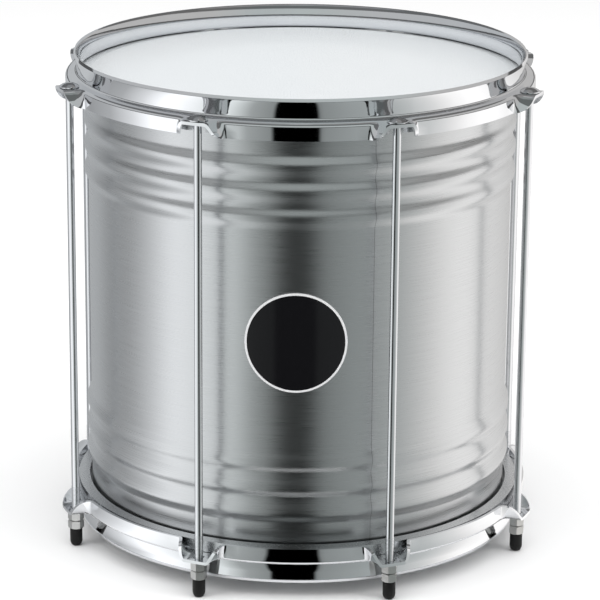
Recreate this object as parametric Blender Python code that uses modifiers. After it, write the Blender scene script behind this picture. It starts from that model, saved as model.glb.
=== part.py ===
"""Repinique: a two-headed drum with a beaded metal shell, pressed hoops and eight tension rods.

Metres, +Z up. The origin lies on the drum's axis, in the plane that the rubber caps rest on.
The badge, and so the front, faces -Y. Both ends are built alike: each end has a reference
plane, the outer face of its hoop's ears, and "rise" below is measured from it towards the rim.
"""

import math

import bmesh
import bpy
from mathutils import Matrix, Vector

MM = 0.001

# Clearance kept between neighbouring pieces
SEAT_GAP = 0.3 * MM
FINE_MERGE = 0.05 * MM

# Shell
SHELL_RADIUS = 152.4 * MM
SHELL_WALL = 1.2 * MM
EAR_SPACING = 314.4 * MM
EDGE_ROUND = 3.0 * MM
EDGE_RETURN = 2.0 * MM
BEADS_PER_BAND = 3
BEAD_PITCH = 18.1 * MM
BEAD_HEIGHT = 2.8 * MM
BEAD_INSET = 32.5 * MM
BEAD_STEPS = 4
ROUND_STEPS = 32

# Heads: a film with its edge cast in a channel, the flesh hoop
FILM_THICKNESS = 0.3 * MM
HEAD_DROP = 0.7 * MM
FLESH_CLEARANCE = 1.9 * MM
FLESH_WIDTH = 8.0 * MM
FLESH_HEIGHT = 8.0 * MM
FLESH_WALL = 1.2 * MM
FLESH_LIP_DROP = 1.2 * MM

# Pressed hoops
SHEET = 2.2 * MM
RIM_HEIGHT = 15.4 * MM
WALL_OVER_FLESH = 3.6 * MM
FOOT_RADIUS = 2.0 * MM
FLARE_RADIUS = 34.0 * MM
FLARE_ANGLE = math.radians(17)
LIP_RADIUS = 1.6 * MM
LIP_ANGLE = math.radians(75)
FLANGE_WIDTH = 2.9 * MM
BEND_RADIUS = 1.9 * MM
SKIRT_DEPTH = 12.0 * MM
EAR_TIP_MARGIN = 7.3 * MM
EAR_HALF_WIDTH = 8.0 * MM
SCALLOP_HALF_WIDTH = 19.0 * MM
EAR_STEPS = 3
SPAN_STEPS = 4

# Tension rods
ROD_COUNT = 8
ROD_CLEAR_OF_SKIRT = 5.0 * MM
SHANK_DIAMETER = 5.5 * MM
THREAD_DIAMETER = 6.0 * MM
THREAD_ABOVE_EAR = 19.0 * MM
THREAD_RUNOUT = 0.5 * MM
HEAD_DIAMETER = 14.2 * MM
HEAD_HEIGHT = 3.3 * MM
HEAD_EDGE = 0.7 * MM
NECK_SIDE = 6.0 * MM
NECK_BELOW_SHEET = 0.4 * MM
ROD_STEPS = 12

# Nuts and rubber caps under the lower hoop
NUT_ACROSS_FLATS = 10.0 * MM
NUT_HEIGHT = 6.2 * MM
NUT_PHASE_STEP = math.radians(22)
CAP_LENGTH = 13.2 * MM
CAP_DIAMETER = 9.0 * MM
CAP_TIP_RADIUS = 1.8 * MM
CAP_TIP_LENGTH = 4.2 * MM
CAP_SOLID_END = 4.6 * MM
CAP_STEPS = 10

# Badge
BADGE_DIAMETER = 71.0 * MM
BADGE_THICKNESS = 0.7 * MM

# Derived heights, from the floor up
LOCK_NUT_Z = CAP_LENGTH + SEAT_GAP
TUNING_NUT_Z = LOCK_NUT_Z + NUT_HEIGHT + SEAT_GAP
BOTTOM_EAR_Z = TUNING_NUT_Z + NUT_HEIGHT + SEAT_GAP
TOP_EAR_Z = BOTTOM_EAR_Z + EAR_SPACING
MIDDLE_Z = (BOTTOM_EAR_Z + TOP_EAR_Z) / 2
SHELL_HALF = EAR_SPACING / 2 - HEAD_DROP - FILM_THICKNESS - SEAT_GAP

# Derived radii, from the shell outwards
FLESH_INNER = SHELL_RADIUS + FLESH_CLEARANCE
FLESH_OUTER = FLESH_INNER + FLESH_WIDTH
WALL_MIDDLE = FLESH_INNER + WALL_OVER_FLESH + SHEET / 2
FOOT_MIDDLE_RADIUS = FOOT_RADIUS + SHEET / 2
BEND_START = WALL_MIDDLE + FOOT_MIDDLE_RADIUS + FLANGE_WIDTH
SKIRT_MIDDLE = BEND_START + BEND_RADIUS
ROD_CIRCLE = SKIRT_MIDDLE + SHEET / 2 + ROD_CLEAR_OF_SKIRT
BEND_LENGTH = BEND_RADIUS * math.pi / 2
SKIRT_LENGTH = BEND_LENGTH + SKIRT_DEPTH - SHEET / 2 - BEND_RADIUS
EAR_LENGTH = ROD_CIRCLE + EAR_TIP_MARGIN - BEND_START
BORE_RADIUS = THREAD_DIAMETER / 2 + SEAT_GAP
HOLE_SIDE = max(NECK_SIDE, THREAD_DIAMETER) + 2 * SEAT_GAP

# Colour, roughness and metallic value of each material
ALUMINIUM = ((0.56, 0.57, 0.58, 1), 0.34, 1.0)
CHROME = ((0.78, 0.79, 0.81, 1), 0.07, 1.0)
ZINC = ((0.62, 0.62, 0.61, 1), 0.38, 1.0)
WHITE_FILM = ((0.9, 0.91, 0.92, 1), 0.35, 0.0)
CHANNEL_METAL = ((0.6, 0.61, 0.62, 1), 0.3, 1.0)
BLACK_RUBBER = ((0.012, 0.012, 0.012, 1), 0.55, 0.0)
BLACK_PLATE = ((0.015, 0.015, 0.016, 1), 0.25, 0.0)


def clear_scene():
    for obj in list(bpy.data.objects):
        bpy.data.objects.remove(obj, do_unlink=True)


def new_collection(name):
    collection = bpy.data.collections.new(name)
    bpy.context.scene.collection.children.link(collection)
    return collection


def new_material(name, look):
    colour, roughness, metallic = look
    material = bpy.data.materials.new(name)
    material.use_nodes = True
    shader = material.node_tree.nodes["Principled BSDF"]
    shader.inputs["Base Color"].default_value = colour
    shader.inputs["Roughness"].default_value = roughness
    shader.inputs["Metallic"].default_value = metallic
    return material


def link_object(name, mesh, collection, look=None):
    """An object for a piece with a material of its own, kept on the object, or for a helper without."""
    obj = bpy.data.objects.new(name, mesh)
    collection.objects.link(obj)
    if look:
        if not mesh.materials:
            mesh.materials.append(None)
        obj.material_slots[0].link = "OBJECT"
        obj.material_slots[0].material = new_material(name, look)
    return obj


def smooth(mesh):
    mesh.shade_smooth()
    mesh.set_sharp_from_angle(angle=math.radians(32))


def profile_mesh(name, points, closed):
    """A chain of edges in the XZ plane, for the Screw modifier to turn about Z."""
    form = bmesh.new()
    corners = [form.verts.new((radius, 0, height)) for radius, height in points]
    for first, second in zip(corners, corners[1:]):
        form.edges.new((first, second))
    if closed:
        form.edges.new((corners[-1], corners[0]))
    mesh = bpy.data.meshes.new(name)
    form.to_mesh(mesh)
    form.free()
    return mesh


def add_screw(obj, steps):
    screw = obj.modifiers.new("turn", "SCREW")
    screw.steps = steps
    screw.render_steps = steps
    screw.use_merge_vertices = True
    screw.merge_threshold = FINE_MERGE
    screw.use_smooth_shade = True


def baked_mesh(obj, name):
    """The evaluated mesh of a helper, which is then removed."""
    graph = bpy.context.evaluated_depsgraph_get()
    mesh = bpy.data.meshes.new_from_object(obj.evaluated_get(graph))
    mesh.name = name
    bpy.data.objects.remove(obj, do_unlink=True)
    smooth(mesh)
    return mesh


def turned_mesh(name, points, steps, closed, helpers):
    obj = link_object(name + "_profile", profile_mesh(name + "_profile", points, closed), helpers)
    add_screw(obj, steps)
    return baked_mesh(obj, name)


def add_boolean(obj, cutter, operation):
    cutter.hide_render = True
    cutter.display_type = "WIRE"
    boolean = obj.modifiers.new(operation.lower(), "BOOLEAN")
    boolean.operation = operation
    boolean.solver = "EXACT"
    boolean.object = cutter


def rod_angle(index):
    """Angle of a rod about Z: the first two stand either side of the front, then counter-clockwise."""
    return -math.pi / 2 + (index + 0.5) * 2 * math.pi / ROD_COUNT


def rod_foot(index):
    angle = rod_angle(index)
    return Vector((ROD_CIRCLE * math.cos(angle), ROD_CIRCLE * math.sin(angle), 0))


def arc(centre, radius, start, end, steps):
    """Points along an arc of the XZ plane, with both of its ends."""
    points = []
    for step in range(steps + 1):
        angle = start + (end - start) * step / steps
        points.append((centre[0] + radius * math.cos(angle), centre[1] + radius * math.sin(angle)))
    return points


def shell_profile():
    """Outer face of the shell from its top edge down, with raised cosine beads near both ends."""
    edge = arc((SHELL_RADIUS - EDGE_ROUND, SHELL_HALF - EDGE_ROUND), EDGE_ROUND, math.pi / 2, 0, 2)
    upper = [(edge[0][0] - EDGE_RETURN, SHELL_HALF - EDGE_RETURN / 2)] + edge
    first_crest = SHELL_HALF - BEAD_INSET
    top_of_band = first_crest + BEAD_PITCH / 2
    for step in range(BEADS_PER_BAND * BEAD_STEPS + 1):
        share = step / BEAD_STEPS
        swell = BEAD_HEIGHT * (1 - math.cos(2 * math.pi * share)) / 2
        upper.append((SHELL_RADIUS + swell, top_of_band - share * BEAD_PITCH))
    lower = [(radius, -height) for radius, height in reversed(upper)]
    return upper + lower


def build_shell(parts, helpers):
    mesh = profile_mesh("shell", shell_profile(), False)
    shell = link_object("shell", mesh, helpers)
    add_screw(shell, ROUND_STEPS)
    solidify = shell.modifiers.new("wall", "SOLIDIFY")
    solidify.thickness = SHELL_WALL
    solidify.offset = -1
    solidify.use_even_offset = True
    turned = baked_mesh(shell, "shell")
    shell = link_object("shell", turned, parts, ALUMINIUM)
    shell.location.z = MIDDLE_Z


def build_badge(parts, helpers):
    """A round plate that follows the shell: a sleeve round the shell, cut to a disc."""
    half = BADGE_DIAMETER
    inner = SHELL_RADIUS + SEAT_GAP
    outer = inner + BADGE_THICKNESS
    sleeve_points = [(outer, half), (outer, -half), (inner, -half), (inner, half)]
    mesh = turned_mesh("badge_sleeve", sleeve_points, ROUND_STEPS, True, helpers)
    badge = link_object("badge", mesh, helpers)
    disc = bmesh.new()
    bmesh.ops.create_cone(
        disc, cap_ends=True, segments=48, radius1=BADGE_DIAMETER / 2, radius2=BADGE_DIAMETER / 2,
        depth=SHELL_RADIUS, matrix=Matrix.Translation((0, -SHELL_RADIUS, 0)) @ Matrix.Rotation(math.pi / 2, 4, "X"))
    disc_mesh = bpy.data.meshes.new("badge_disc")
    disc.to_mesh(disc_mesh)
    disc.free()
    cutter = link_object("badge_disc", disc_mesh, helpers)
    add_boolean(badge, cutter, "INTERSECT")
    mesh = baked_mesh(badge, "badge")
    bpy.data.objects.remove(cutter, do_unlink=True)
    badge = link_object("badge", mesh, parts, BLACK_PLATE)
    badge.location.z = MIDDLE_Z


def flesh_profile():
    """A channel open towards the rim, whose inner wall is lower where the film passes over it."""
    top = -SHEET - SEAT_GAP
    bottom = top - FLESH_HEIGHT
    inner_top = top - FLESH_LIP_DROP
    return [
        (FLESH_OUTER, top),
        (FLESH_OUTER, bottom),
        (FLESH_INNER, bottom),
        (FLESH_INNER, inner_top),
        (FLESH_INNER + FLESH_WALL, inner_top),
        (FLESH_INNER + FLESH_WALL, bottom + FLESH_WALL),
        (FLESH_OUTER - FLESH_WALL, bottom + FLESH_WALL),
        (FLESH_OUTER - FLESH_WALL, top),
    ]


def film_profile():
    """The playing face, its collar over the shell's edge, and the edge cast in the channel."""
    face = -HEAD_DROP
    edge = SHELL_RADIUS - EDGE_ROUND + SEAT_GAP
    ring_top = -SHEET - 1.5 * SEAT_GAP
    ring_bottom = -SHEET - FLESH_HEIGHT + FLESH_WALL
    ring_outer = FLESH_OUTER - FLESH_WALL - SEAT_GAP
    ring_inner = FLESH_INNER + FLESH_WALL + SEAT_GAP
    collar = SHELL_RADIUS + SEAT_GAP
    collar_drop = 0.45 * (face - ring_top)
    return [
        (0, face),
        (edge, face),
        (collar, face - collar_drop),
        (ring_inner + FILM_THICKNESS, ring_top),
        (ring_outer, ring_top),
        (ring_outer, ring_bottom),
        (ring_inner, ring_bottom),
        (ring_inner, ring_top - FILM_THICKNESS),
        (collar - FILM_THICKNESS, face - collar_drop - FILM_THICKNESS),
        (edge, face - FILM_THICKNESS),
        (0, face - FILM_THICKNESS),
    ]


def bend_point(along, bend):
    """Middle of the sheet past the flange: distance along it, for a skirt bent down by an angle."""
    curved = min(along, BEND_LENGTH)
    straight = along - curved
    turn = bend * curved / BEND_LENGTH
    if bend < 1e-6:
        return BEND_START + along, -SHEET / 2
    radius = BEND_LENGTH / bend
    out = BEND_START + radius * math.sin(turn) + straight * math.cos(turn)
    down = radius * (1 - math.cos(turn)) + straight * math.sin(turn)
    return out, -SHEET / 2 - down


def hoop_wall_points():
    """Middle of the sheet from the rolled lip down the flared wall to the foot's flange."""
    lip_rise = RIM_HEIGHT - SHEET / 2 * math.sin(LIP_ANGLE)
    flare_top = lip_rise - LIP_RADIUS * (math.sin(LIP_ANGLE) - math.sin(FLARE_ANGLE))
    flare_bottom = flare_top - FLARE_RADIUS * math.sin(FLARE_ANGLE)
    flare_out = FLARE_RADIUS * (1 - math.cos(FLARE_ANGLE))
    lip_out = LIP_RADIUS * (math.cos(FLARE_ANGLE) - math.cos(LIP_ANGLE))
    half_angle = FLARE_ANGLE / 2
    middle = (
        WALL_MIDDLE + FLARE_RADIUS * (1 - math.cos(half_angle)),
        flare_bottom + FLARE_RADIUS * math.sin(half_angle),
    )
    foot_centre = (WALL_MIDDLE + FOOT_MIDDLE_RADIUS, FOOT_RADIUS)
    foot = arc(foot_centre, FOOT_MIDDLE_RADIUS, math.pi, 1.5 * math.pi, 2)
    return [
        (WALL_MIDDLE + flare_out + lip_out, lip_rise),
        (WALL_MIDDLE + flare_out, flare_top),
        middle,
    ] + foot


def hoop_section(bend_share):
    """The whole section of the sheet, from lip to tip, where the skirt is bent by a share of 90 degrees."""
    bend = bend_share * math.pi / 2
    length = EAR_LENGTH + (SKIRT_LENGTH - EAR_LENGTH) * bend_share
    tail = [bend_point(along, bend) for along in (0, BEND_LENGTH / 2, BEND_LENGTH, length)]
    return hoop_wall_points() + tail


def smooth_step(share):
    share = min(max(share, 0), 1)
    return share * share * (3 - 2 * share)


def hoop_columns():
    """(angle from a rod, share of the full bend) across one rod's part of the hoop."""
    ear = EAR_HALF_WIDTH / ROD_CIRCLE
    scallop = SCALLOP_HALF_WIDTH / ROD_CIRCLE
    middle = math.pi / ROD_COUNT
    side = [(ear + (scallop - ear) * step / EAR_STEPS, smooth_step(step / EAR_STEPS)) for step in range(EAR_STEPS + 1)]
    span = [(scallop + (middle - scallop) * step / (SPAN_STEPS / 2), 1) for step in range(1, SPAN_STEPS // 2)]
    half = side + span
    return [(-angle, share) for angle, share in reversed(half)] + half + [(middle, 1)]


def hoop_sheet_mesh():
    """Middle surface of a pressed hoop: unlike sections lofted round the axis, flat ears at the rods."""
    form = bmesh.new()
    rings = []
    for index in range(ROD_COUNT):
        for offset, share in hoop_columns():
            angle = rod_angle(index) + offset
            ring = []
            for radius, rise in hoop_section(share):
                ring.append(form.verts.new((radius * math.cos(angle), radius * math.sin(angle), rise)))
            rings.append(ring)
    for ring, following in zip(rings, rings[1:] + rings[:1]):
        for upper, lower, next_lower, next_upper in zip(ring, ring[1:], following[1:], following):
            form.faces.new((upper, lower, next_lower, next_upper))
    mesh = bpy.data.meshes.new("hoop_sheet")
    form.to_mesh(mesh)
    form.free()
    return mesh


def hole_cutter(helpers):
    """A square prism through every ear, for the square necks of the rods."""
    form = bmesh.new()
    for index in range(ROD_COUNT):
        place = Matrix.Translation(rod_foot(index)) @ Matrix.Rotation(rod_angle(index), 4, "Z")
        size = Matrix.Diagonal((HOLE_SIDE, HOLE_SIDE, 6 * SHEET, 1))
        bmesh.ops.create_cube(form, size=1, matrix=place @ size)
    mesh = bpy.data.meshes.new("ear_holes")
    form.to_mesh(mesh)
    form.free()
    return link_object("ear_holes", mesh, helpers)


def hoop_mesh(helpers):
    """One pressed hoop with its rim up and its ears' outer faces at rise 0."""
    hoop = link_object("hoop_sheet", hoop_sheet_mesh(), helpers)
    solidify = hoop.modifiers.new("sheet", "SOLIDIFY")
    solidify.thickness = SHEET
    solidify.offset = 0
    solidify.use_even_offset = True
    cutter = hole_cutter(helpers)
    add_boolean(hoop, cutter, "DIFFERENCE")
    mesh = baked_mesh(hoop, "hoop")
    bpy.data.objects.remove(cutter, do_unlink=True)
    return mesh


def rod_mesh(helpers):
    """A tension rod from its ear's outer face: domed head, square neck, shank and thread."""
    cap_radius = HEAD_DIAMETER / 2
    dome_height = HEAD_HEIGHT - HEAD_EDGE
    dome_radius = (cap_radius ** 2 + dome_height ** 2) / (2 * dome_height)
    dome_centre = (0, SEAT_GAP + HEAD_HEIGHT - dome_radius)
    edge_angle = math.acos(cap_radius / dome_radius)
    dome = arc(dome_centre, dome_radius, math.pi / 2, edge_angle, 3)
    dome[0] = (0, SEAT_GAP + HEAD_HEIGHT)
    shank = SHANK_DIAMETER / 2
    thread = THREAD_DIAMETER / 2
    thread_top = THREAD_ABOVE_EAR - EAR_SPACING
    end = CAP_SOLID_END + SEAT_GAP - TOP_EAR_Z
    points = dome + [
        (cap_radius, SEAT_GAP),
        (shank, SEAT_GAP),
        (shank, thread_top),
        (thread, thread_top - THREAD_RUNOUT),
        (thread, end + THREAD_RUNOUT),
        (shank, end),
        (0, end),
    ]
    turned = turned_mesh("rod_body", points, ROD_STEPS, False, helpers)
    body = link_object("rod_body", turned, helpers)
    neck_top = SEAT_GAP + HEAD_EDGE
    neck_bottom = -SHEET - NECK_BELOW_SHEET
    form = bmesh.new()
    size = Matrix.Diagonal((NECK_SIDE, NECK_SIDE, neck_top - neck_bottom, 1))
    place = Matrix.Translation((0, 0, (neck_top + neck_bottom) / 2))
    bmesh.ops.create_cube(form, size=1, matrix=place @ size)
    mesh = bpy.data.meshes.new("rod_neck")
    form.to_mesh(mesh)
    form.free()
    neck = link_object("rod_neck", mesh, helpers)
    add_boolean(body, neck, "UNION")
    rod = baked_mesh(body, "tension_rod")
    bpy.data.objects.remove(neck, do_unlink=True)
    return rod


def nut_mesh(helpers):
    """A tall hexagon nut on its lower face, with its bore left plain."""
    form = bmesh.new()
    corner = NUT_ACROSS_FLATS / math.sqrt(3)
    rise = Matrix.Translation((0, 0, NUT_HEIGHT / 2))
    bmesh.ops.create_cone(form, cap_ends=True, segments=6, radius1=corner, radius2=corner, depth=NUT_HEIGHT, matrix=rise)
    mesh = bpy.data.meshes.new("nut_blank")
    form.to_mesh(mesh)
    form.free()
    nut = link_object("nut_blank", mesh, helpers)
    form = bmesh.new()
    bmesh.ops.create_cone(
        form, cap_ends=True, segments=ROD_STEPS, radius1=BORE_RADIUS, radius2=BORE_RADIUS,
        depth=2 * NUT_HEIGHT, matrix=rise)
    bore_mesh = bpy.data.meshes.new("nut_bore")
    form.to_mesh(bore_mesh)
    form.free()
    bore = link_object("nut_bore", bore_mesh, helpers)
    add_boolean(nut, bore, "DIFFERENCE")
    mesh = baked_mesh(nut, "nut")
    bpy.data.objects.remove(bore, do_unlink=True)
    return mesh


def cap_mesh(helpers):
    """A bullet-shaped rubber cap on its small flat tip, with the bore that takes the rod's end."""
    outer = CAP_DIAMETER / 2
    tip = arc((0, CAP_TIP_LENGTH), 1, 0, -math.pi / 2, 3)
    tip_points = []
    for across, height in tip[1:]:
        drop = (CAP_TIP_LENGTH - height) * CAP_TIP_LENGTH
        tip_points.append((CAP_TIP_RADIUS + across * (outer - CAP_TIP_RADIUS), CAP_TIP_LENGTH - drop))
    points = [
        (BORE_RADIUS, CAP_LENGTH),
        (outer, CAP_LENGTH),
        (outer, CAP_TIP_LENGTH),
    ] + tip_points + [(0, 0)]
    bore = [(0, CAP_SOLID_END), (BORE_RADIUS, CAP_SOLID_END)]
    return turned_mesh("rubber_cap", bore + points, CAP_STEPS, False, helpers)


def place_end(name, mesh, parts, look, at_top):
    """A piece of one end: upright at the top, turned over about X at the bottom."""
    obj = link_object(name, mesh, parts, look)
    obj.location.z = TOP_EAR_Z if at_top else BOTTOM_EAR_Z
    obj.rotation_euler.x = 0 if at_top else math.pi


def build_ends(parts, helpers):
    hoop = hoop_mesh(helpers)
    film = turned_mesh("head_film", film_profile(), ROUND_STEPS, False, helpers)
    channel = turned_mesh("flesh_hoop", flesh_profile(), ROUND_STEPS, True, helpers)
    for end, at_top in (("top", True), ("bottom", False)):
        place_end(end + "_hoop", hoop, parts, CHROME, at_top)
        place_end(end + "_head_film", film, parts, WHITE_FILM, at_top)
        place_end(end + "_flesh_hoop", channel, parts, CHANNEL_METAL, at_top)


def build_rods(parts, helpers):
    rod = rod_mesh(helpers)
    nut = nut_mesh(helpers)
    cap = cap_mesh(helpers)
    stack = (
        ("tension_rod", rod, CHROME, TOP_EAR_Z, 0),
        ("tuning_nut", nut, ZINC, TUNING_NUT_Z, NUT_PHASE_STEP),
        ("lock_nut", nut, ZINC, LOCK_NUT_Z, NUT_PHASE_STEP),
        ("rubber_cap", cap, BLACK_RUBBER, 0, 0),
    )
    for index in range(ROD_COUNT):
        for kind, mesh, look, height, phase in stack:
            obj = link_object(f"{kind}_{index + 1}", mesh, parts, look)
            obj.location = rod_foot(index) + Vector((0, 0, height))
            obj.rotation_euler.z = rod_angle(index) + phase * index


def main():
    clear_scene()
    parts = new_collection("repinique")
    helpers = new_collection("cutters")
    build_shell(parts, helpers)
    build_badge(parts, helpers)
    build_ends(parts, helpers)
    build_rods(parts, helpers)


main()
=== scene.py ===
import math

import bmesh
import bpy
from mathutils import Matrix, Vector


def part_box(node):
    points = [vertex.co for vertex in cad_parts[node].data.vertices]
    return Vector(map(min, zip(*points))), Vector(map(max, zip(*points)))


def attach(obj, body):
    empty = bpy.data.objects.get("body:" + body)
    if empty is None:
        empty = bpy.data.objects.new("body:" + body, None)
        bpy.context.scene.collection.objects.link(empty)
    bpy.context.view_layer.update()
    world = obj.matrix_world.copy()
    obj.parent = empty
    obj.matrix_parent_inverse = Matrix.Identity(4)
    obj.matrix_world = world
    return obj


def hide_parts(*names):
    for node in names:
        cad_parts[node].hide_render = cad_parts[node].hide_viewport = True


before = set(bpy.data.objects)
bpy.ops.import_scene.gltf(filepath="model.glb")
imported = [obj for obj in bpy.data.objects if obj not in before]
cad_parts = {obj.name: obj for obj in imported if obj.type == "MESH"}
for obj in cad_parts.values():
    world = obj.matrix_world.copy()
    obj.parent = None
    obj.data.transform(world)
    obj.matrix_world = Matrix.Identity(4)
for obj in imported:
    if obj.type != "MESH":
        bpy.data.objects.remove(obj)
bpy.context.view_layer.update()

# Shell: an aluminium sheet rolled into a tube and closed by a lengthwise seam. Three raised beads
# are rolled in near each end, both edges are turned in, and the outside is brushed round the tube.
MM = 0.001
SHELL_RADIUS = 152.4 * MM
SHELL_WALL = 1.2 * MM
EDGE_ROUND = 3.0 * MM
EDGE_RETURN = 2.0 * MM
EDGE_STEPS = 8
BEAD_PITCH = 18.1 * MM
BEAD_HEIGHT = 2.8 * MM
BEAD_INSET = 32.5 * MM
BEADS_PER_BAND = 3
BEAD_STEPS = 14
SHELL_TURN_STEPS = 256
SHARP_DEGREES = 35
WELD_DISTANCE = 0.002 * MM

ALUMINIUM_COLOUR = (0.60, 0.61, 0.62)
SEAM_BEARING = math.radians(20.2)
SEAM_HALF_WIDTH = 0.0016
SEAM_DARKENING = 0.4
HAIRLINES_ROUND = 2.5
HAIRLINES_UP = 1500
HAIRLINE_SCALE = 1.6
HAIRLINE_DETAIL = 6
HAIRLINE_SHADE = (0.93, 1.05)
HAIRLINE_ROUGHNESS = (0.85, 1.15)
HAIRLINE_BUMP = 0.16
HAIRLINE_DEPTH = 0.03 * MM

# A noise texture's values lie mostly between these two.
NOISE_LOW = 0.3
NOISE_HIGH = 0.7

GROUP_INPUTS = (
    ("Base Colour", "NodeSocketColor", (0.5, 0.5, 0.5, 1)),
    ("Base Roughness", "NodeSocketFloat", 0.3),
)
GROUP_OUTPUTS = (
    ("Colour", "NodeSocketColor"),
    ("Roughness", "NodeSocketFloat"),
    ("Normal", "NodeSocketVector"),
)

shell_low, shell_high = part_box("shell")
MIDDLE_Z = (shell_low[2] + shell_high[2]) / 2
SHELL_HALF = (shell_high[2] - shell_low[2]) / 2


def smooth_mesh(mesh, sharp_degrees):
    mesh.shade_smooth()
    mesh.set_sharp_from_angle(angle=math.radians(sharp_degrees))


def finish_mesh(name, form, sharp_degrees=SHARP_DEGREES):
    bmesh.ops.remove_doubles(form, verts=form.verts, dist=WELD_DISTANCE)
    bmesh.ops.recalc_face_normals(form, faces=form.faces)
    mesh = bpy.data.meshes.new(name)
    form.to_mesh(mesh)
    form.free()
    smooth_mesh(mesh, sharp_degrees)
    return mesh


def grid_mesh(name, rings, closed_section, sharp_degrees=SHARP_DEGREES):
    """Joins rings of points round the axis; a closed section also joins its last point to its first."""
    form = bmesh.new()
    rows = [[form.verts.new(point) for point in ring] for ring in rings]
    for ring, following in zip(rows, rows[1:] + rows[:1]):
        pairs = list(zip(ring, following))
        if closed_section:
            pairs.append(pairs[0])
        for (low, low_next), (high, high_next) in zip(pairs, pairs[1:]):
            form.faces.new((low, high, high_next, low_next))
    return finish_mesh(name, form, sharp_degrees)


def turned_mesh(name, section, steps, closed_section, sharp_degrees=SHARP_DEGREES):
    """Turns a section of (radius, height) points round the vertical axis."""
    rings = []
    for step in range(steps):
        turn = 2 * math.pi * step / steps
        rings.append([(r * math.cos(turn), r * math.sin(turn), z) for r, z in section])
    return grid_mesh(name, rings, closed_section, sharp_degrees)


def arc(centre, radius, start, end, steps):
    turns = [start + (end - start) * step / steps for step in range(steps + 1)]
    return [(centre[0] + radius * math.cos(t), centre[1] + radius * math.sin(t)) for t in turns]


def shell_side():
    """The outside from the top's turned-in edge to the bottom's, about the shell's middle."""
    edge_centre = (SHELL_RADIUS - EDGE_ROUND, SHELL_HALF - EDGE_ROUND)
    edge = arc(edge_centre, EDGE_ROUND, math.pi / 2, 0, EDGE_STEPS)
    side = [(edge[0][0] - EDGE_RETURN, SHELL_HALF - EDGE_RETURN / 2)] + edge
    band_top = SHELL_HALF - BEAD_INSET + BEAD_PITCH / 2
    for step in range(BEADS_PER_BAND * BEAD_STEPS + 1):
        share = step / BEAD_STEPS
        swell = BEAD_HEIGHT * (1 - math.cos(2 * math.pi * share)) / 2
        side.append((SHELL_RADIUS + swell, band_top - share * BEAD_PITCH))
    return side + [(radius, -height) for radius, height in reversed(side)]


def shell_section():
    """The outside, and the inside at one wall's thickness from it."""
    outside = shell_side()
    inside = []
    for index, (radius, height) in enumerate(outside):
        before = outside[max(index - 1, 0)]
        after = outside[min(index + 1, len(outside) - 1)]
        along = Vector((after[0] - before[0], after[1] - before[1])).normalized()
        inside.append((radius + along.y * SHELL_WALL, height - along.x * SHELL_WALL))
    return outside + inside[::-1]


def add_math(tree, operation, first, second=None):
    node = tree.nodes.new("ShaderNodeMath")
    node.operation = operation
    for socket, value in zip(node.inputs, (first, second)):
        if isinstance(value, (int, float)):
            socket.default_value = value
        elif value is not None:
            tree.links.new(value, socket)
    return node.outputs[0]


def add_noise(tree, vector, scale, detail):
    noise = tree.nodes.new("ShaderNodeTexNoise")
    noise.inputs["Scale"].default_value = scale
    noise.inputs["Detail"].default_value = detail
    tree.links.new(vector, noise.inputs["Vector"])
    return noise.outputs["Fac"]


def add_range(tree, noise, low, high):
    """Spreads a noise texture's usual values over the range from low to high."""
    node = tree.nodes.new("ShaderNodeMapRange")
    tree.links.new(noise, node.inputs["Value"])
    bounds = {"From Min": NOISE_LOW, "From Max": NOISE_HIGH, "To Min": low, "To Max": high}
    for label, bound in bounds.items():
        node.inputs[label].default_value = bound
    return node.outputs["Result"]


def add_bump(tree, height, strength, distance):
    bump = tree.nodes.new("ShaderNodeBump")
    bump.inputs["Strength"].default_value = strength
    bump.inputs["Distance"].default_value = distance
    tree.links.new(height, bump.inputs["Height"])
    return bump.outputs["Normal"]


def add_scaled_colour(tree, colour, factor):
    scale = tree.nodes.new("ShaderNodeVectorMath")
    scale.operation = "SCALE"
    tree.links.new(colour, scale.inputs[0])
    tree.links.new(factor, scale.inputs["Scale"])
    return scale.outputs[0]


def add_place(tree):
    """The point in the object's own coordinates, split into X, Y and Z."""
    parts = tree.nodes.new("ShaderNodeSeparateXYZ")
    tree.links.new(tree.nodes.new("ShaderNodeTexCoord").outputs["Object"], parts.inputs[0])
    return parts.outputs


def add_bearing(tree, place):
    """The angle round the drum in radians: 0 at the front, -Y, and growing towards +X."""
    return add_math(tree, "ARCTAN2", place["X"], add_math(tree, "MULTIPLY", place["Y"], -1))


def new_group(name):
    group = bpy.data.node_groups.new(name, "ShaderNodeTree")
    for label, kind, value in GROUP_INPUTS:
        socket = group.interface.new_socket(label, in_out="INPUT", socket_type=kind)
        socket.default_value = value
    for label, kind in GROUP_OUTPUTS:
        group.interface.new_socket(label, in_out="OUTPUT", socket_type=kind)
    return group, group.nodes.new("NodeGroupInput").outputs


def finish_group(group, given, shade, swing, normal):
    """Scales the given colour and roughness by the pattern, and puts both out with the normal."""
    result = group.nodes.new("NodeGroupOutput").inputs
    colour = add_scaled_colour(group, given["Base Colour"], shade)
    group.links.new(colour, result["Colour"])
    roughness = add_math(group, "MULTIPLY", given["Base Roughness"], swing)
    group.links.new(roughness, result["Roughness"])
    group.links.new(normal, result["Normal"])
    return group


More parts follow.
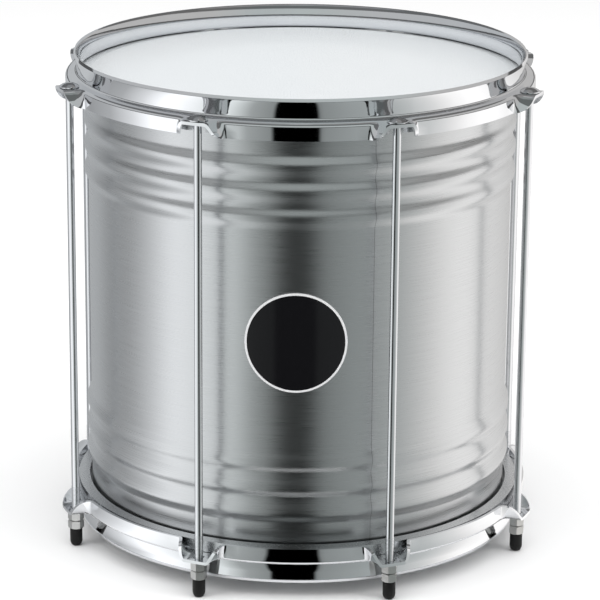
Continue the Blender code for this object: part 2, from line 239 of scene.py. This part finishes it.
def brushed_group():
    """Hairlines that run round the tube, and the dark line of its seam."""
    group, given = new_group("hairlines round the tube")
    place = add_place(group)
    bearing = add_bearing(group, place)
    stretched = group.nodes.new("ShaderNodeCombineXYZ")
    group.links.new(add_math(group, "MULTIPLY", bearing, HAIRLINES_ROUND), stretched.inputs["X"])
    group.links.new(add_math(group, "MULTIPLY", place["Z"], HAIRLINES_UP), stretched.inputs["Z"])
    lines = add_noise(group, stretched.outputs[0], HAIRLINE_SCALE, HAIRLINE_DETAIL)
    off_seam = add_math(group, "ABSOLUTE", add_math(group, "SUBTRACT", bearing, SEAM_BEARING))
    seam = add_math(group, "LESS_THAN", off_seam, SEAM_HALF_WIDTH)
    keep = add_math(group, "SUBTRACT", 1, add_math(group, "MULTIPLY", seam, SEAM_DARKENING))
    shade = add_math(group, "MULTIPLY", add_range(group, lines, *HAIRLINE_SHADE), keep)
    swing = add_range(group, lines, *HAIRLINE_ROUGHNESS)
    normal = add_bump(group, lines, HAIRLINE_BUMP, HAIRLINE_DEPTH)
    return finish_group(group, given, shade, swing, normal)


def new_material(name, group, colour, roughness, metallic, specular=0.5):
    """A material whose group holds the pattern and whose own shader holds the finish."""
    material = bpy.data.materials.new(name)
    material.use_nodes = True
    tree = material.node_tree
    shader = tree.nodes["Principled BSDF"]
    pattern = tree.nodes.new("ShaderNodeGroup")
    pattern.node_tree = group
    pattern.inputs["Base Colour"].default_value = (*colour, 1)
    pattern.inputs["Base Roughness"].default_value = roughness
    tree.links.new(pattern.outputs["Colour"], shader.inputs["Base Color"])
    tree.links.new(pattern.outputs["Roughness"], shader.inputs["Roughness"])
    tree.links.new(pattern.outputs["Normal"], shader.inputs["Normal"])
    shader.inputs["Metallic"].default_value = metallic
    shader.inputs["Specular IOR Level"].default_value = specular
    return material


def add_piece(name, mesh, material, body, nodes, place):
    """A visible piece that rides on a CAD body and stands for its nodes."""
    piece = bpy.data.objects.new(name, mesh)
    bpy.context.scene.collection.objects.link(piece)
    piece.matrix_world = place
    mesh.materials.clear()
    mesh.materials.append(material)
    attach(piece, body)
    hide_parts(*nodes)


aluminium = new_material("brushed aluminium", brushed_group(), ALUMINIUM_COLOUR, roughness=0.30, metallic=1.0)
shell_mesh = turned_mesh("shell", shell_section(), SHELL_TURN_STEPS, closed_section=True)
at_middle = Matrix.Translation((0, 0, MIDDLE_Z))
add_piece("shell_tube", shell_mesh, aluminium, "drum", ["shell"], at_middle)


# Hoops: each is pressed from one sheet of steel and chromed. The wall flares to a rolled lip, and
# the flange turns down into a skirt that is cut away at the ears, which stay flat for the rods.
SHEET = 2.2 * MM
RIM_HEIGHT = 15.4 * MM
FLESH_CLEARANCE = 1.9 * MM
WALL_PAST_FLESH = 3.6 * MM
FLARE_RADIUS = 34.0 * MM
FLARE_ANGLE = math.radians(17)
FLARE_STEPS = 6
LIP_RADIUS = 1.6 * MM
LIP_ANGLE = math.radians(75)
LIP_STEPS = 5
FOOT_INNER_RADIUS = 2.0 * MM
FOOT_STEPS = 6
FLANGE_WIDTH = 2.9 * MM
BEND_RADIUS = 1.9 * MM
BEND_STEPS = 6
SKIRT_DEPTH = 12.0 * MM
SKIRT_TO_ROD = 5.0 * MM
EAR_PAST_ROD = 7.3 * MM
EAR_HALF_WIDTH = 8.0 * MM
SCALLOP_HALF_WIDTH = 19.0 * MM
FLAT_STEPS = 4
SCALLOP_STEPS = 10
SKIRT_STEPS = 6
ROD_COUNT = 8
HOLE_SIDE = 6.6 * MM
HOLE_CUTTER_HEIGHT = 6 * SHEET

FLESH_INNER = SHELL_RADIUS + FLESH_CLEARANCE
WALL_MIDDLE = FLESH_INNER + WALL_PAST_FLESH + SHEET / 2
FOOT_RADIUS = FOOT_INNER_RADIUS + SHEET / 2
BEND_START = WALL_MIDDLE + FOOT_RADIUS + FLANGE_WIDTH
BEND_LENGTH = BEND_RADIUS * math.pi / 2
SKIRT_LENGTH = BEND_LENGTH + SKIRT_DEPTH - SHEET / 2 - BEND_RADIUS
ROD_CIRCLE = BEND_START + BEND_RADIUS + SHEET / 2 + SKIRT_TO_ROD
EAR_LENGTH = ROD_CIRCLE + EAR_PAST_ROD - BEND_START
TOP_EAR_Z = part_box("top_hoop")[1][2] - RIM_HEIGHT
BOTTOM_EAR_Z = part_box("bottom_hoop")[0][2] + RIM_HEIGHT

CHROME_COLOUR = (0.80, 0.81, 0.83)
GRAIN_DETAIL = 4
GRAIN_DEPTH = 0.02 * MM
CLOUD_DETAIL = 3
GRAINS_PER_CLOUD = 30


def rod_angle(index):
    return -math.pi / 2 + (index + 0.5) * 2 * math.pi / ROD_COUNT


def smooth_step(share):
    return share * share * (3 - 2 * share)


def bend_point(along, bend):
    """The sheet's middle, at a length from the bend's start, when the sheet turns down by bend."""
    curved = min(along, BEND_LENGTH)
    straight = along - curved
    if bend == 0:
        return BEND_START + along, -SHEET / 2
    radius = BEND_LENGTH / bend
    turn = bend * curved / BEND_LENGTH
    out = BEND_START + radius * math.sin(turn) + straight * math.cos(turn)
    return out, -SHEET / 2 - radius * (1 - math.cos(turn)) - straight * math.sin(turn)


def hoop_wall():
    """The sheet's middle from the lip down the flared wall to the end of the foot."""
    lip_rise = RIM_HEIGHT - SHEET / 2 * math.sin(LIP_ANGLE)
    flare_top = lip_rise - LIP_RADIUS * (math.sin(LIP_ANGLE) - math.sin(FLARE_ANGLE))
    flare_out = FLARE_RADIUS * (1 - math.cos(FLARE_ANGLE))
    lip_centre = (
        WALL_MIDDLE + flare_out + LIP_RADIUS * math.cos(FLARE_ANGLE),
        flare_top - LIP_RADIUS * math.sin(FLARE_ANGLE),
    )
    lip = arc(lip_centre, LIP_RADIUS, math.pi - LIP_ANGLE, math.pi - FLARE_ANGLE, LIP_STEPS)
    flare_centre = (WALL_MIDDLE + FLARE_RADIUS, flare_top - FLARE_RADIUS * math.sin(FLARE_ANGLE))
    flare = arc(flare_centre, FLARE_RADIUS, math.pi - FLARE_ANGLE, math.pi, FLARE_STEPS)
    foot_centre = (WALL_MIDDLE + FOOT_RADIUS, FOOT_RADIUS - SHEET / 2)
    foot = arc(foot_centre, FOOT_RADIUS, math.pi, 1.5 * math.pi, FOOT_STEPS)
    return lip + flare[1:] + foot


def hoop_section(bend_share):
    """The whole section, from flat as at an ear, 0, to turned down as between two ears, 1."""
    bend = bend_share * math.pi / 2
    length = EAR_LENGTH + (SKIRT_LENGTH - EAR_LENGTH) * bend_share
    along = [BEND_LENGTH * step / BEND_STEPS for step in range(BEND_STEPS + 1)]
    along += [(BEND_LENGTH + length) / 2, length]
    return hoop_wall() + [bend_point(distance, bend) for distance in along]


def hoop_columns():
    """Angles from the middle of one ear, each with its share of the full bend."""
    ear = EAR_HALF_WIDTH / ROD_CIRCLE
    scallop = SCALLOP_HALF_WIDTH / ROD_CIRCLE
    middle = math.pi / ROD_COUNT
    half = [(ear * step / FLAT_STEPS, 0) for step in range(1, FLAT_STEPS)]
    for step in range(SCALLOP_STEPS + 1):
        angle = ear + (scallop - ear) * step / SCALLOP_STEPS
        half.append((angle, smooth_step(step / SCALLOP_STEPS)))
    for step in range(1, SKIRT_STEPS):
        half.append((scallop + (middle - scallop) * step / SKIRT_STEPS, 1))
    return [(-angle, share) for angle, share in reversed(half)] + [(0, 0)] + half + [(middle, 1)]


def hoop_sheet():
    rings = []
    for index in range(ROD_COUNT):
        for offset, share in hoop_columns():
            angle = rod_angle(index) + offset
            section = hoop_section(share)
            rings.append([(r * math.cos(angle), r * math.sin(angle), z) for r, z in section])
    return grid_mesh("hoop sheet", rings, closed_section=False)


def hole_cutter():
    form = bmesh.new()
    size = Matrix.Diagonal((HOLE_SIDE, HOLE_SIDE, HOLE_CUTTER_HEIGHT, 1))
    for index in range(ROD_COUNT):
        turn = rod_angle(index)
        place = Matrix.Translation((ROD_CIRCLE * math.cos(turn), ROD_CIRCLE * math.sin(turn), 0))
        bmesh.ops.create_cube(form, size=1, matrix=place @ Matrix.Rotation(turn, 4, "Z") @ size)
    return finish_mesh("ear holes", form)


def hoop_mesh():
    """The sheet given its thickness, with a square hole cut through each ear."""
    sheet = bpy.data.objects.new("hoop sheet", hoop_sheet())
    cutter = bpy.data.objects.new("ear holes", hole_cutter())
    for helper in (sheet, cutter):
        bpy.context.scene.collection.objects.link(helper)
    solidify = sheet.modifiers.new("sheet", "SOLIDIFY")
    solidify.thickness = SHEET
    solidify.offset = 0
    solidify.use_even_offset = True
    holes = sheet.modifiers.new("holes", "BOOLEAN")
    holes.operation = "DIFFERENCE"
    holes.solver = "EXACT"
    holes.object = cutter
    mesh = bpy.data.meshes.new_from_object(sheet.evaluated_get(bpy.context.evaluated_depsgraph_get()))
    bpy.data.objects.remove(sheet)
    bpy.data.objects.remove(cutter)
    mesh.name = "pressed hoop"
    smooth_mesh(mesh, SHARP_DEGREES)
    return mesh


def grain_group(name, scale, colour_swing, roughness_swing, bump):
    """Fine even grain with faint broad clouds: cast, plated, moulded and polished surfaces."""
    group, given = new_group(name)
    place = group.nodes.new("ShaderNodeTexCoord").outputs["Object"]
    fine = add_noise(group, place, scale, GRAIN_DETAIL)
    clouds = add_noise(group, place, scale / GRAINS_PER_CLOUD, CLOUD_DETAIL)
    shade = add_range(group, clouds, 1 - colour_swing, 1 + colour_swing)
    swing = add_range(group, fine, 1 - roughness_swing, 1 + roughness_swing)
    return finish_group(group, given, shade, swing, add_bump(group, fine, bump, GRAIN_DEPTH))


upright = Matrix.Translation((0, 0, TOP_EAR_Z))
turned_over = Matrix.Translation((0, 0, BOTTOM_EAR_Z)) @ Matrix.Rotation(math.pi, 4, "X")
polish = grain_group("polish haze", scale=900, colour_swing=0.02, roughness_swing=0.2, bump=0.004)
chrome = new_material("hoop chrome", polish, CHROME_COLOUR, roughness=0.055, metallic=1.0)
top_pressed = hoop_mesh()
bottom_pressed = top_pressed.copy()
add_piece("top_pressed_hoop", top_pressed, chrome, "top_hoop_and_rods", ["top_hoop"], upright)
add_piece("bottom_pressed_hoop", bottom_pressed, chrome, "drum", ["bottom_hoop"], turned_over)


# Heads: a white plastic film with a moulded collar over the shell's edge. Its rim is cast into the
# channel of an aluminium flesh hoop, which the pressed hoop's flange pulls down.
FLESH_WIDTH = 8.0 * MM
FLESH_HEIGHT = 8.0 * MM
FLESH_WALL = 1.2 * MM
FLESH_LIP_DROP = 1.2 * MM
GAP = 0.3 * MM
FILM = 0.3 * MM
FILM_RIM_GAP = 1.5 * GAP
HEAD_DROP = 0.7 * MM
COLLAR_SHARE = 0.45
FACE_RING_SHARE = 0.6
HEAD_TURN_STEPS = 192
FILM_COLOUR = (0.66, 0.685, 0.70)

FLESH_OUTER = FLESH_INNER + FLESH_WIDTH


def flesh_section():
    top = -SHEET - GAP
    bottom = top - FLESH_HEIGHT
    inner_top = top - FLESH_LIP_DROP
    return [
        (FLESH_OUTER, top),
        (FLESH_OUTER, bottom),
        (FLESH_INNER, bottom),
        (FLESH_INNER, inner_top),
        (FLESH_INNER + FLESH_WALL, inner_top),
        (FLESH_INNER + FLESH_WALL, bottom + FLESH_WALL),
        (FLESH_OUTER - FLESH_WALL, bottom + FLESH_WALL),
        (FLESH_OUTER - FLESH_WALL, top),
    ]


def film_section():
    face = -HEAD_DROP
    edge = SHELL_RADIUS - EDGE_ROUND + GAP
    collar = SHELL_RADIUS + GAP
    rim_top = -SHEET - FILM_RIM_GAP
    rim_bottom = -SHEET - FLESH_HEIGHT + FLESH_WALL
    rim_inner = FLESH_INNER + FLESH_WALL + GAP
    rim_outer = FLESH_OUTER - FLESH_WALL - GAP
    collar_z = face - COLLAR_SHARE * (face - rim_top)
    return [
        (0, face),
        (edge * FACE_RING_SHARE, face),
        (edge, face),
        (collar, collar_z),
        (rim_inner + FILM, rim_top),
        (rim_outer, rim_top),
        (rim_outer, rim_bottom),
        (rim_inner, rim_bottom),
        (rim_inner, rim_top - FILM),
        (collar - FILM, collar_z - FILM),
        (edge, face - FILM),
        (0, face - FILM),
    ]


film_grain = grain_group("film haze", scale=1400, colour_swing=0.012, roughness_swing=0.12, bump=0.03)
film_white = new_material("white head film", film_grain, FILM_COLOUR, roughness=0.28, metallic=0.0)
channel_metal = new_material("flesh hoop aluminium", polish, ALUMINIUM_COLOUR, roughness=0.25, metallic=1.0)
for end, place in (("top", upright), ("bottom", turned_over)):
    film = turned_mesh(end + " film", film_section(), HEAD_TURN_STEPS, closed_section=False)
    add_piece(end + "_film", film, film_white, "drum", [end + "_head_film"], place)
    channel = turned_mesh(end + " channel", flesh_section(), HEAD_TURN_STEPS, closed_section=True)
    add_piece(end + "_channel", channel, channel_metal, "drum", [end + "_flesh_hoop"], place)


# Badge: a thin round metal plate in black enamel with a bright raised border, bent to the shell
# and glued on. Its face is left plain.
BADGE_RADIUS = 35.5 * MM
BADGE_BORDER = 1.5 * MM
BADGE_FACE = 0.55 * MM
BADGE_RIM = 0.7 * MM
BORDER_ROUND = 0.2 * MM
BORDER_INNER_DROP = 0.05 * MM
BADGE_ROWS = 12
BADGE_TURN_STEPS = 96
ENAMEL_RADIUS = BADGE_RADIUS - BADGE_BORDER
ENAMEL_COLOUR = (0.006, 0.006, 0.007)
BORDER_COLOUR = (0.90, 0.90, 0.91)


def wrapped_disc(name, section, closed_section):
    """A disc or ring turned from its section and bent round the shell, facing -Y."""
    rings = []
    for step in range(BADGE_TURN_STEPS):
        turn = 2 * math.pi * step / BADGE_TURN_STEPS
        ring = []
        for across, proud in section:
            reach = SHELL_RADIUS + GAP + proud
            bearing = across * math.cos(turn) / reach
            ring.append((reach * math.sin(bearing), -reach * math.cos(bearing), across * math.sin(turn)))
        rings.append(ring)
    return grid_mesh(name, rings, closed_section)


def disc_rows(proud):
    return [(ENAMEL_RADIUS * step / BADGE_ROWS, proud) for step in range(BADGE_ROWS + 1)]


def border_section():
    return [
        (ENAMEL_RADIUS, BADGE_RIM - BORDER_INNER_DROP),
        (ENAMEL_RADIUS + BORDER_ROUND, BADGE_RIM),
        (BADGE_RADIUS - BORDER_ROUND, BADGE_RIM),
        (BADGE_RADIUS, BADGE_RIM - BORDER_ROUND),
        (BADGE_RADIUS, 0),
        (ENAMEL_RADIUS, 0),
    ]


enamel_grain = grain_group("enamel flow", scale=500, colour_swing=0.04, roughness_swing=0.2, bump=0.02)
enamel = new_material("black enamel", enamel_grain, ENAMEL_COLOUR, roughness=0.12, metallic=0.0, specular=0.3)
border_metal = new_material("badge border metal", polish, BORDER_COLOUR, roughness=0.5, metallic=0.35)
plate = wrapped_disc("badge enamel", disc_rows(BADGE_FACE) + disc_rows(0)[::-1], closed_section=False)
add_piece("badge_enamel_plate", plate, enamel, "drum", ["badge"], at_middle)
border = wrapped_disc("badge border", border_section(), closed_section=True)
add_piece("badge_border_ring", border, border_metal, "drum", ["badge"], at_middle)


# Tension rods: chromed steel, each with a domed head and square neck that sit in the top hoop's
# ear, a drawn shank and a rolled M6 thread that passes through the bottom hoop's ear.
SHANK_RADIUS = 2.75 * MM
THREAD_RADIUS = 3.0 * MM
THREAD_ROOT = 2.62 * MM
THREAD_PITCH = 1.0 * MM
THREAD_ABOVE_EAR = 19.0 * MM
THREAD_BELOW_EAR = 2.0 * MM
HEAD_RADIUS = 7.1 * MM
HEAD_HEIGHT = 3.3 * MM
HEAD_EDGE = 0.7 * MM
DOME_STEPS = 8
END_CHAMFER = 0.5 * MM
END_TOP_RADIUS = 2.8 * MM
END_RADIUS = 2.45 * MM
NECK_HALF = 3.0 * MM
NECK_LENGTH = SHEET + 0.7 * MM
NECK_IN_HEAD = 0.1 * MM
NECK_CORNER = 0.4 * MM
NECK_CORNER_STEPS = 3
ROD_TURN_STEPS = 32
ROD_SHARP_DEGREES = 50
ROD_COLOUR = (0.74, 0.75, 0.77)

# One turn of the thread: how far down it, in pitches, and the radius there.
THREAD_PROFILE = ((0.45, THREAD_RADIUS), (0.60, THREAD_RADIUS), (1.0, THREAD_ROOT))

ROD_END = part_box("tension_rod_1")[0][2] - TOP_EAR_Z


def rod_section():
    """From the dome's top to the rod's end, from the top ear's upper face at height 0."""
    dome_height = HEAD_HEIGHT - HEAD_EDGE
    dome_radius = (HEAD_RADIUS ** 2 + dome_height ** 2) / (2 * dome_height)
    dome_start = math.acos(HEAD_RADIUS / dome_radius)
    dome = arc((0, GAP + HEAD_HEIGHT - dome_radius), dome_radius, math.pi / 2, dome_start, DOME_STEPS)
    dome[0] = (0, GAP + HEAD_HEIGHT)
    thread_top = BOTTOM_EAR_Z + THREAD_ABOVE_EAR - TOP_EAR_Z
    turns = int((THREAD_ABOVE_EAR + SHEET + THREAD_BELOW_EAR) / THREAD_PITCH)
    section = dome + [(HEAD_RADIUS, GAP), (SHANK_RADIUS, GAP), (SHANK_RADIUS, thread_top)]
    for turn in range(turns):
        section += [(radius, thread_top - (turn + down) * THREAD_PITCH) for down, radius in THREAD_PROFILE]
    return section + [(END_TOP_RADIUS, ROD_END + END_CHAMFER), (END_RADIUS, ROD_END), (0, ROD_END)]


def neck_mesh():
    """The square neck, as a closed collar round the shank."""
    form = bmesh.new()
    place = Matrix.Translation((0, 0, GAP - NECK_LENGTH / 2 + NECK_IN_HEAD))
    size = Matrix.Diagonal((2 * NECK_HALF, 2 * NECK_HALF, NECK_LENGTH, 1))
    bmesh.ops.create_cube(form, size=1, matrix=place @ size)
    upright_edges = [edge for edge in form.edges if abs(edge.verts[0].co.z - edge.verts[1].co.z) > MM]
    corners = {"offset": NECK_CORNER, "segments": NECK_CORNER_STEPS, "affect": "EDGES", "profile": 0.5}
    bmesh.ops.bevel(form, geom=upright_edges, **corners)
    return finish_mesh("square neck", form)


def rod_place(index, height):
    turn = rod_angle(index)
    foot = Matrix.Translation((ROD_CIRCLE * math.cos(turn), ROD_CIRCLE * math.sin(turn), height))
    return foot @ Matrix.Rotation(turn, 4, "Z")


rod_chrome = new_material("rod chrome", polish, ROD_COLOUR, roughness=0.12, metallic=1.0)
rod_base = turned_mesh("tension rod", rod_section(), ROD_TURN_STEPS, False, ROD_SHARP_DEGREES)
neck_base = neck_mesh()
for index in range(ROD_COUNT):
    number = str(index + 1)
    node = "tension_rod_" + number
    place = rod_place(index, TOP_EAR_Z)
    rod = rod_base.copy()
    add_piece("rod_" + number, rod, rod_chrome, "top_hoop_and_rods", [node], place)
    neck = neck_base.copy()
    add_piece("rod_neck_" + number, neck, rod_chrome, "top_hoop_and_rods", [node], place)


# Nuts: two zinc-plated steel hexagon nuts on each rod, chamfered on both faces. The upper one
# pulls the rod down against the ear and the lower one locks it.
NUT_HALF_FLATS = 5.0 * MM
NUT_HEIGHT = 6.2 * MM
NUT_BORE = 3.3 * MM
NUT_FACE_RADIUS = 4.75 * MM
CHAMFER_SLOPE = math.tan(math.radians(30))
NUT_TURN_STEPS = 48
NUT_SHARP_DEGREES = 25
NUT_PHASE_STEP = math.radians(22)
ZINC_COLOUR = (0.50, 0.50, 0.49)


def nut_mesh():
    rings = []
    for step in range(NUT_TURN_STEPS):
        turn = 2 * math.pi * step / NUT_TURN_STEPS
        from_flat = (turn + math.pi / 6) % (math.pi / 3) - math.pi / 6
        side = NUT_HALF_FLATS / math.cos(from_flat)
        drop = (side - NUT_FACE_RADIUS) * CHAMFER_SLOPE
        section = [
            (NUT_BORE, 0),
            (NUT_FACE_RADIUS, 0),
            (side, drop),
            (side, NUT_HEIGHT - drop),
            (NUT_FACE_RADIUS, NUT_HEIGHT),
            (NUT_BORE, NUT_HEIGHT),
        ]
        rings.append([(r * math.cos(turn), r * math.sin(turn), z) for r, z in section])
    return grid_mesh("hexagon nut", rings, True, NUT_SHARP_DEGREES)


zinc_grain = grain_group("plating grain", scale=1800, colour_swing=0.06, roughness_swing=0.3, bump=0.12)
zinc = new_material("zinc plating", zinc_grain, ZINC_COLOUR, roughness=0.36, metallic=1.0)
nut_base = nut_mesh()
for index in range(ROD_COUNT):
    for kind in ("tuning_nut", "lock_nut"):
        node = kind + "_" + str(index + 1)
        nut_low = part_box(node)[0]
        place = rod_place(index, nut_low[2]) @ Matrix.Rotation(NUT_PHASE_STEP * index, 4, "Z")
        add_piece("hex_" + node, nut_base.copy(), zinc, node + "_turning", [node], place)


# Rubber caps: black moulded bullets pushed over the rod ends below the lock nuts. Their tips are
# slightly flattened, and the drum stands on them.
CAP_LENGTH = 13.2 * MM
CAP_RADIUS = 4.5 * MM
CAP_TIP_RADIUS = 1.8 * MM
CAP_TIP_LENGTH = 4.2 * MM
CAP_TIP_STEPS = 8
CAP_SOLID_END = 4.6 * MM
CAP_MOUTH_ROUND = 0.3 * MM
CAP_TURN_STEPS = 32
RUBBER_COLOUR = (0.006, 0.006, 0.006)


def cap_section():
    bore = [(0, CAP_SOLID_END), (NUT_BORE, CAP_SOLID_END), (NUT_BORE, CAP_LENGTH)]
    mouth = [(CAP_RADIUS - CAP_MOUTH_ROUND, CAP_LENGTH), (CAP_RADIUS, CAP_LENGTH - CAP_MOUTH_ROUND)]
    tip = [(CAP_RADIUS, CAP_TIP_LENGTH)]
    for step in range(1, CAP_TIP_STEPS + 1):
        turn = math.pi / 2 * step / CAP_TIP_STEPS
        across = CAP_TIP_RADIUS + math.cos(turn) * (CAP_RADIUS - CAP_TIP_RADIUS)
        tip.append((across, CAP_TIP_LENGTH * (1 - math.sin(turn))))
    return bore + mouth + tip + [(0, 0)]


rubber_grain = grain_group("moulded rubber", scale=2200, colour_swing=0.1, roughness_swing=0.15, bump=0.15)
rubber = new_material("black rubber", rubber_grain, RUBBER_COLOUR, roughness=0.45, metallic=0.0, specular=0.2)
cap_base = turned_mesh("rubber cap", cap_section(), CAP_TURN_STEPS, closed_section=False)
for index in range(ROD_COUNT):
    node = "rubber_cap_" + str(index + 1)
    add_piece("moulded_" + node, cap_base.copy(), rubber, "drum", [node], rod_place(index, 0))


# Studio: a white floor, a large soft light overhead and one at each side, and a round screen close
# to the drum that only reflections show. Its bright and dark panels give the metal its bands.
FLOOR_SIZE = 40.0
FLOOR_COLOUR = (0.93, 0.93, 0.93, 1)
FLOOR_ROUGHNESS = 0.7
WORLD_COLOUR = (1, 1, 1, 1)
WORLD_STRENGTH = 0.72
LIGHT_AIM = Vector((0, 0, 0.18))
SCREEN_RADIUS = 0.34
SCREEN_HEIGHT = 1.2
SCREEN_FLOOR_HOLE = 0.19
SCREEN_TOP_HOLE = 0.05
SCREEN_LIFT = 0.0008
SCREEN_TURN_STEPS = 128

# Bearings in degrees from the front, growing to the right, each with a brightness.
SCREEN_PANELS = (
    (-180, 0.70), (-136, 0.55), (-116, 0.62), (-96, 0.38), (-80, 0.50), (-67, 0.85), (-56, 1.35),
    (-48, 1.25), (-36, 0.95), (-27, 0.95), (-18, 0.42), (-9.5, 0.30), (-9, 0.0), (8, 0.0), (8.5, 0.30),
    (20, 0.38), (34, 0.46), (45, 0.62), (56, 0.85), (67, 1.15), (80, 1.30), (95, 1.15), (118, 0.90),
    (140, 0.65), (180, 0.70),
)

# Bearings in degrees, each with the tint of the light that comes from there.
SCREEN_TINTS = (
    (-120, (0.95, 0.98, 1.0)), (-50, (0.98, 0.99, 1.0)), (-8, (0.93, 1.0, 0.98)),
    (30, (0.93, 1.0, 0.99)), (60, (1.0, 0.985, 0.965)), (120, (1.0, 0.985, 0.97)),
)

# Heights from which one even brightness takes the panels' place, up to the next height.
UPPER_BANDS = ((0.348, 0.10), (0.378, 0.55), (0.52, 0.16), (1.0, 0.30))


def stage_object(name, mesh, material):
    obj = bpy.data.objects.new(name, mesh)
    bpy.context.scene.collection.objects.link(obj)
    mesh.materials.append(material)
    return obj


def floor_material():
    material = bpy.data.materials.new("white floor")
    material.use_nodes = True
    shader = material.node_tree.nodes["Principled BSDF"]
    shader.inputs["Base Color"].default_value = FLOOR_COLOUR
    shader.inputs["Roughness"].default_value = FLOOR_ROUGHNESS
    shader.inputs["Specular IOR Level"].default_value = 0.0
    return material


def add_ramp(tree, turn_share, stops):
    """A colour ramp right round the drum, from its stops' bearings in degrees and colours."""
    ramp = tree.nodes.new("ShaderNodeValToRGB")
    elements = ramp.color_ramp.elements
    while len(elements) < len(stops):
        elements.new(0.5)
    for element, (bearing, colour) in zip(elements, stops):
        element.position = bearing / 360 + 0.5
        element.color = (*colour, 1)
    tree.links.new(turn_share, ramp.inputs["Fac"])
    return ramp.outputs["Color"]


def screen_material():
    material = bpy.data.materials.new("reflection screen")
    material.use_nodes = True
    tree = material.node_tree
    tree.nodes.clear()
    place = add_place(tree)
    turn_share = add_math(tree, "ADD", add_math(tree, "DIVIDE", add_bearing(tree, place), 2 * math.pi), 0.5)
    panels = [(bearing, (level, level, level)) for bearing, level in SCREEN_PANELS]
    brightness = add_ramp(tree, turn_share, panels)
    for height, level in UPPER_BANDS:
        above = add_math(tree, "GREATER_THAN", place["Z"], height)
        kept = add_math(tree, "MULTIPLY", brightness, add_math(tree, "SUBTRACT", 1, above))
        brightness = add_math(tree, "ADD", kept, add_math(tree, "MULTIPLY", above, level))
    emission = tree.nodes.new("ShaderNodeEmission")
    tree.links.new(add_ramp(tree, turn_share, SCREEN_TINTS), emission.inputs["Color"])
    tree.links.new(brightness, emission.inputs["Strength"])
    output = tree.nodes.new("ShaderNodeOutputMaterial")
    tree.links.new(emission.outputs[0], output.inputs["Surface"])
    return material


def soft_light(name, location, size, power):
    light = bpy.data.lights.new(name, "AREA")
    light.shape = "RECTANGLE"
    light.size, light.size_y = size
    light.energy = power
    obj = bpy.data.objects.new(name, light)
    bpy.context.scene.collection.objects.link(obj)
    obj.location = location
    obj.rotation_euler = (LIGHT_AIM - Vector(location)).to_track_quat("-Z", "Y").to_euler()
    obj.visible_camera = False
    obj.visible_glossy = False


floor_form = bmesh.new()
bmesh.ops.create_grid(floor_form, x_segments=1, y_segments=1, size=FLOOR_SIZE / 2)
stage_object("floor", finish_mesh("floor", floor_form), floor_material())
screen_section = [
    (SCREEN_FLOOR_HOLE, SCREEN_LIFT),
    (SCREEN_RADIUS, SCREEN_LIFT),
    (SCREEN_RADIUS, SCREEN_HEIGHT),
    (SCREEN_TOP_HOLE, SCREEN_HEIGHT),
]
screen_mesh = turned_mesh("screen", screen_section, SCREEN_TURN_STEPS, closed_section=False)
screen = stage_object("reflection screen", screen_mesh, screen_material())
screen.visible_camera = False
screen.visible_diffuse = False
screen.visible_shadow = False
screen.visible_transmission = False
soft_light("overhead light", location=(0, -0.4, 3.2), size=(3.0, 3.0), power=60)
soft_light("left light", location=(-2.4, -1.2, 1.6), size=(1.6, 1.8), power=22)
soft_light("right light", location=(2.4, -1.0, 1.6), size=(1.6, 1.8), power=22)

world = bpy.data.worlds.new("studio")
bpy.context.scene.world = world
world.use_nodes = True
world.node_tree.nodes["Background"].inputs["Color"].default_value = WORLD_COLOUR
world.node_tree.nodes["Background"].inputs["Strength"].default_value = WORLD_STRENGTH
bpy.context.scene.view_settings.view_transform = "Standard"


# Camera: where the photograph was taken from, found from the rims, beads, rod heads and caps. It
# stands in front of the drum and looks down at it. Distances are in metres, angles in radians.
CAMERA_DISTANCE = 2.0440
CAMERA_HEIGHT = 0.7925
CAMERA_PITCH = 0.2966
CAMERA_YAW = 0.000416
CAMERA_ROLL = 0.008073
CAMERA_BEARING = 0.01155
CAMERA_LENS = 175.0
SENSOR_WIDTH = 36

forward = Vector((math.sin(CAMERA_YAW), math.cos(CAMERA_YAW), 0)) * math.cos(CAMERA_PITCH)
forward.z = -math.sin(CAMERA_PITCH)
level_right = forward.cross(Vector((0, 0, 1))).normalized()
level_up = level_right.cross(forward)
right = math.cos(CAMERA_ROLL) * level_right + math.sin(CAMERA_ROLL) * level_up
up = math.cos(CAMERA_ROLL) * level_up - math.sin(CAMERA_ROLL) * level_right
aim = Matrix((right, up, -forward)).transposed().to_4x4()
camera_data = bpy.data.cameras.new("camera")
camera_data.sensor_width = SENSOR_WIDTH
camera_data.lens = CAMERA_LENS
camera = bpy.data.objects.new("camera", camera_data)
bpy.context.scene.collection.objects.link(camera)
stand = Matrix.Translation((0, -CAMERA_DISTANCE, CAMERA_HEIGHT))
camera.matrix_world = Matrix.Rotation(CAMERA_BEARING, 4, "Z") @ stand @ aim
bpy.context.scene.camera = camera
